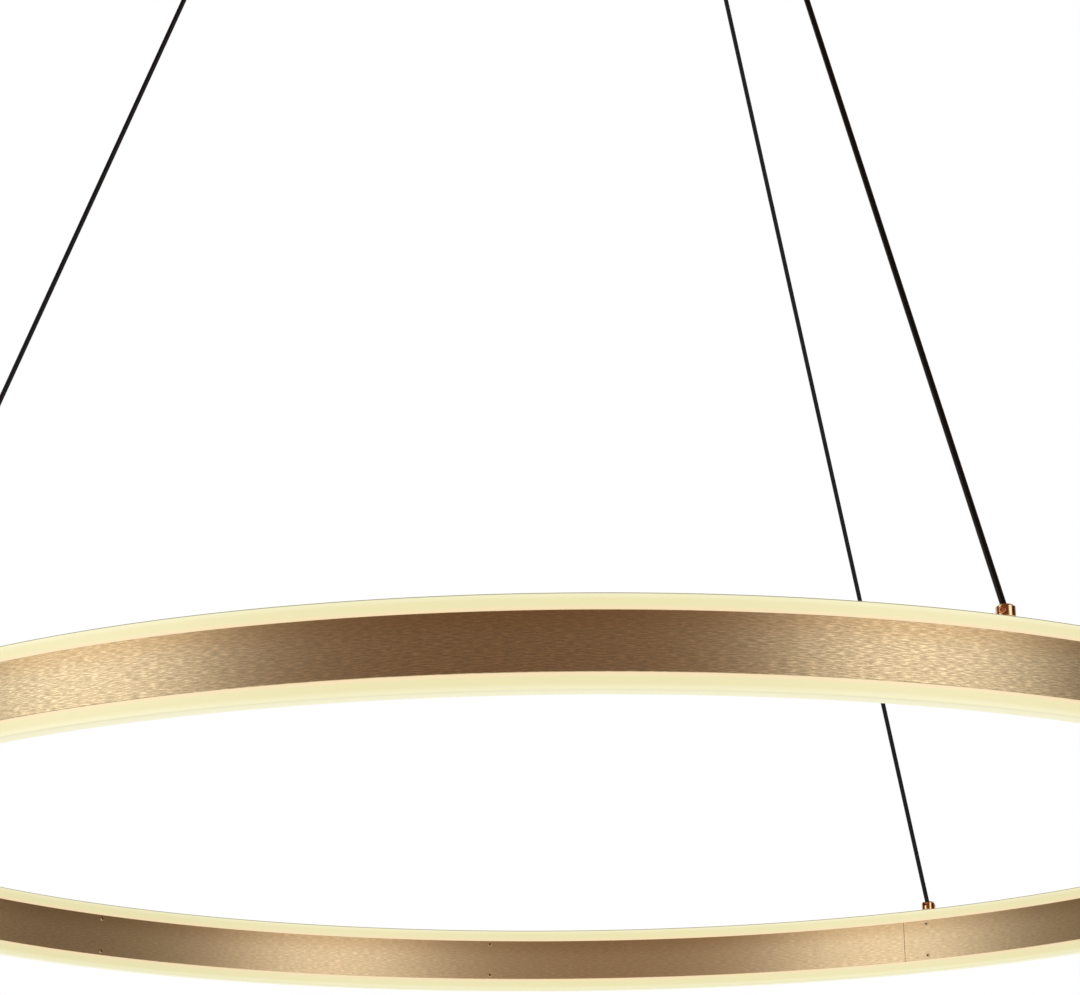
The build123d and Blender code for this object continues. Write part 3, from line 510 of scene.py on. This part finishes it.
# ---------------------------------------------------------------- cables
def spline_curve(name, points, radius, material):
    """Smooth NURBS cable with these control points."""
    data = bpy.data.curves.new(name, "CURVE")
    data.dimensions = "3D"
    data.resolution_u = 24
    data.bevel_depth = radius
    data.bevel_resolution = 5
    data.use_fill_caps = True
    spline = data.splines.new("NURBS")
    spline.points.add(len(points) - 1)
    for point, place in zip(spline.points, points):
        point.co = (*place, 1.0)
    spline.order_u = 3
    spline.use_endpoint_u = True
    data.materials.append(material)
    piece = bpy.data.objects.new(name, data)
    scene.collection.objects.link(piece)
    return piece


# Corners of each tail's route under the plate, then its free length in metres.
TAIL_ROUTES = (
    ([(0.097, 0.045), (0.097, 0.014), (0.097, -0.036), (0.069, -0.036)], 0.211),
    (
        [(-0.062, 0.060), (-0.025, 0.060), (0.020, 0.060), (0.040, 0.060)]
        + [(0.088, 0.012), (0.088, -0.024), (0.069, -0.024)],
        0.336,
    ),
    ([(0.080, -0.080), (0.097, -0.048), (0.069, -0.048)], 0.140),
)


def make_cables(sheath):
    ball_low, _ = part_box("cable_ball_2")
    pivot_z = ball_low.z + BALL_RADIUS
    for number, azimuth in enumerate(cable_azimuths, start=1):
        mouth = circle_point(azimuth, EXIT_RADIUS, MOUTH_Z)
        pivot = circle_point(azimuth, MID_RADIUS, pivot_z)
        foot = pivot + (mouth - pivot).normalized() * CABLE_NECK
        path = [mouth.lerp(foot, step / CABLE_STEPS) for step in range(CABLE_STEPS + 1)]
        cable = tube(f"suspension_cable_{number}", path, CABLE_RADIUS, sheath)
        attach(cable, "canopy")
        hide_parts(f"cable_{number}")
        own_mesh(cable)

        corners, length = TAIL_ROUTES[number - 1]
        rise = [mouth.to_tuple(), (mouth.x, mouth.y, TAIL_UPRIGHT_Z), (mouth.x, mouth.y, TAIL_Z)]
        route = rise + [(x, y, TAIL_Z) for x, y in corners]
        tail = spline_curve(f"cable_end_{number}_in_canopy", route, CABLE_RADIUS, sheath)
        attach(tail, "canopy")
        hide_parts(f"cable_tail_{number}")


# ---------------------------------------------------------------- gripper springs
def make_springs(steel):
    """Coil springs above the plungers, which press them together."""
    for number, azimuth in enumerate(cable_azimuths, start=1):
        centre = circle_point(azimuth, EXIT_RADIUS, 0)
        count = SPRING_TURNS * SPRING_STEPS
        path = []
        for step in range(count + 1):
            turn = 2 * pi * step / SPRING_STEPS
            z = SPRING_LOW + (SPRING_HIGH - SPRING_LOW) * step / count
            path.append(centre + Vector((SPRING_RADIUS * cos(turn), SPRING_RADIUS * sin(turn), z)))
        spring = tube(f"coil_spring_{number}", path, SPRING_WIRE, steel, SPRING_SIDES)
        node = f"gripper_spring_{number}"
        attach(spring, "canopy")
        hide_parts(node)
        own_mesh(spring)


# ---------------------------------------------------------------- ring
def band_section(low, high):
    """Band between two radii, with its four edges taken off."""
    bottom, top = RING_Z - BAND_HEIGHT / 2, RING_Z + BAND_HEIGHT / 2
    cut = BAND_EDGE
    return [
        (low + cut, bottom), (high - cut, bottom), (high, bottom + cut), (high, top - cut),
        (high - cut, top), (low + cut, top), (low, top - cut), (low, bottom + cut),
    ]


def make_bands(materials):
    half_gap = degrees(BAND_SEAM / 2 / RING_RADIUS)
    first = FIRST_CABLE + BAND_SEAM_TURN + half_gap
    sweep = 360 - 2 * half_gap
    inner = RING_RADIUS - RING_WALL
    spans = {
        "outer_band": (RING_RADIUS - BAND_THICKNESS, RING_RADIUS),
        "inner_band": (inner, inner + BAND_THICKNESS),
    }
    for node, (low, high) in spans.items():
        band = revolve(f"brushed_{node}", band_section(low, high), materials[node], first, sweep)
        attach(band, "ring")
        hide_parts(node)


def diffuser_section(side):
    """U-shaped opal profile with rounded corners and a slightly crowned face."""
    half = RING_WALL / 2 - DIFFUSER_SETBACK
    inside = half - DIFFUSER_WALL
    edge = BAND_HEIGHT / 2
    top = RING_HEIGHT / 2
    r = DIFFUSER_ROUND
    outline = [(half, edge)]
    for k in range(CORNER_STEPS + 1):
        turn = pi / 2 * k / CORNER_STEPS
        outline.append((half - r + r * cos(turn), top - DIFFUSER_CROWN - r + r * sin(turn)))
    outline.append((half / 2, top - DIFFUSER_CROWN / 4))
    outline.append((0, top))
    outline.append((-half / 2, top - DIFFUSER_CROWN / 4))
    for k in range(CORNER_STEPS + 1):
        turn = pi / 2 + pi / 2 * k / CORNER_STEPS
        outline.append((r - half + r * cos(turn), top - DIFFUSER_CROWN - r + r * sin(turn)))
    outline += [(-half, edge), (-inside, edge), (-inside, top - DIFFUSER_WALL)]
    outline += [(inside, top - DIFFUSER_WALL), (inside, edge)]
    placed = [(MID_RADIUS + x, RING_Z + side * z) for x, z in outline]
    return placed if side > 0 else list(reversed(placed))


def make_diffusers(opal):
    for node, side in (("upper_diffuser", 1), ("lower_diffuser", -1)):
        shade = revolve(f"opal_{node}", diffuser_section(side), opal)
        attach(shade, "ring")
        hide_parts(node)


def make_screws(materials):
    """Round-headed screws in pairs on the inner band, their hexagon sockets painted dark as shade."""
    maker = bmesh.new()
    turns = [2 * pi * k / SCREW_SIDES for k in range(SCREW_SIDES)]
    flat = pi / 3
    azimuths = [cable + turn for cable in cable_azimuths for turn in SCREW_TURNS]
    for azimuth, side in ((a, s) for a in azimuths for s in (1, -1)):
        centre = circle_point(azimuth, RING_RADIUS - RING_WALL, RING_Z + side * SCREW_RISE)
        inwards = circle_point(azimuth, -1, 0)
        up = Vector((0, 0, 1))
        across = up.cross(inwards)
        rows = []
        for radius, lift in SCREW_HEAD:
            base = centre + inwards * lift
            rows.append([base + radius * (across * cos(t) + up * sin(t)) for t in turns])
        for radius, lift in SCREW_SOCKET:
            base = centre + inwards * lift
            reach = [radius / cos((t + flat / 2) % flat - flat / 2) for t in turns]
            spokes = zip(turns, reach)
            rows.append([base + r * (across * cos(t) + up * sin(t)) for t, r in spokes])
        rows = [[maker.verts.new(point) for point in row] for row in rows]
        for level, (here, there) in enumerate(zip(rows, rows[1:])):
            for k in range(SCREW_SIDES):
                n = (k + 1) % SCREW_SIDES
                face = maker.faces.new((here[k], here[n], there[n], there[k]))
                face.material_index = int(level >= len(SCREW_HEAD))
        maker.faces.new(rows[-1]).material_index = 1
        maker.faces.new(list(reversed(rows[0])))
    screws = piece_from(maker, "ring_screws", materials["screw_head"], materials["socket"])
    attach(screws, "ring")
    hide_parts("band_screws")


# ---------------------------------------------------------------- CAD pieces
def dress_cad(materials):
    """Gives each CAD piece the material made for its slot, if there is one."""
    for node, piece in frame["nodes"].items():
        if slot_of[node] in materials:
            piece.data.materials.clear()
            piece.data.materials.append(materials[slot_of[node]])


# ---------------------------------------------------------------- floor and lights
def make_floor():
    """Pale floor far below, clear from underneath so that a view from there sees the part."""
    material, tree, shader = new_material("studio_floor", roughness=0.9)
    grain = noise(tree, object_place(tree), 3.0)
    tone = blend_colours(tree, grain, srgb(244, 244, 243), srgb(250, 250, 249))
    tree.links.new(tone, shader.inputs["Base Color"])
    clear = add(tree, "ShaderNodeBsdfTransparent").outputs[0]
    behind = add(tree, "ShaderNodeNewGeometry").outputs["Backfacing"]
    mixed = add(tree, "ShaderNodeMixShader", {0: behind, 1: shader.outputs[0], 2: clear})
    tree.links.new(mixed.outputs[0], tree.nodes["Material Output"].inputs["Surface"])
    maker = bmesh.new()
    half = FLOOR_SIZE / 2
    signs = ((-1, -1), (1, -1), (1, 1), (-1, 1))
    corners = [maker.verts.new((x * half, y * half, FLOOR_Z)) for x, y in signs]
    maker.faces.new(corners)
    piece_from(maker, "studio_floor", material)


def softbox(name, place):
    """Area light aimed at the middle of the ring."""
    data = bpy.data.lights.new(name, "AREA")
    data.shape = "RECTANGLE"
    data.size = SOFTBOX_WIDTH
    data.size_y = SOFTBOX_HEIGHT
    data.energy = SOFTBOX_POWER
    light = bpy.data.objects.new(name, data)
    scene.collection.objects.link(light)
    light.location = place
    light.rotation_mode = "QUATERNION"
    aim = Vector((0, 0, RING_Z)) - Vector(place)
    light.rotation_quaternion = aim.to_track_quat("-Z", "Y")


def make_world():
    """White to the camera, pale all round for soft light, and dim but for the backdrop in gloss."""
    world = bpy.data.worlds.new("studio")
    scene.world = world
    world.use_nodes = True
    tree = world.node_tree
    tree.nodes.clear()
    direction = add(tree, "ShaderNodeTexCoord").outputs["Generated"]
    parts = add(tree, "ShaderNodeSeparateXYZ", {0: direction}).outputs
    aside = fade(tree, maths(tree, "ABSOLUTE", parts["X"]), *SIDES_RANGE)
    dim = blend_colours(tree, aside, DIM_STUDIO, DIM_SIDES)
    backdrop = fade(tree, parts["Y"], *BACKDROP_RANGE)
    gloss = blend_colours(tree, backdrop, dim, WHITE)
    path = add(tree, "ShaderNodeLightPath").outputs
    soft = (FILL, FILL, FILL, 1.0)
    tone = blend_colours(tree, path["Is Glossy Ray"], soft, gloss)
    seen = maths(tree, "MAXIMUM", path["Is Camera Ray"], path["Is Transmission Ray"])
    tone = blend_colours(tree, seen, tone, WHITE)
    light = add(tree, "ShaderNodeBackground", {"Color": tone, "Strength": 1.0})
    output = add(tree, "ShaderNodeOutputWorld")
    tree.links.new(light.outputs[0], output.inputs["Surface"])


def make_studio():
    make_floor()
    make_world()
    for name, place in SOFTBOX_PLACES.items():
        softbox(name, place)


make_camera()
materials = make_materials()
make_cables(materials["black_sheath"])
dress_cad(materials)
make_bands(materials)
make_diffusers(materials["opal_diffuser"])
make_screws(materials)
make_springs(materials["spring_steel"])
make_studio()
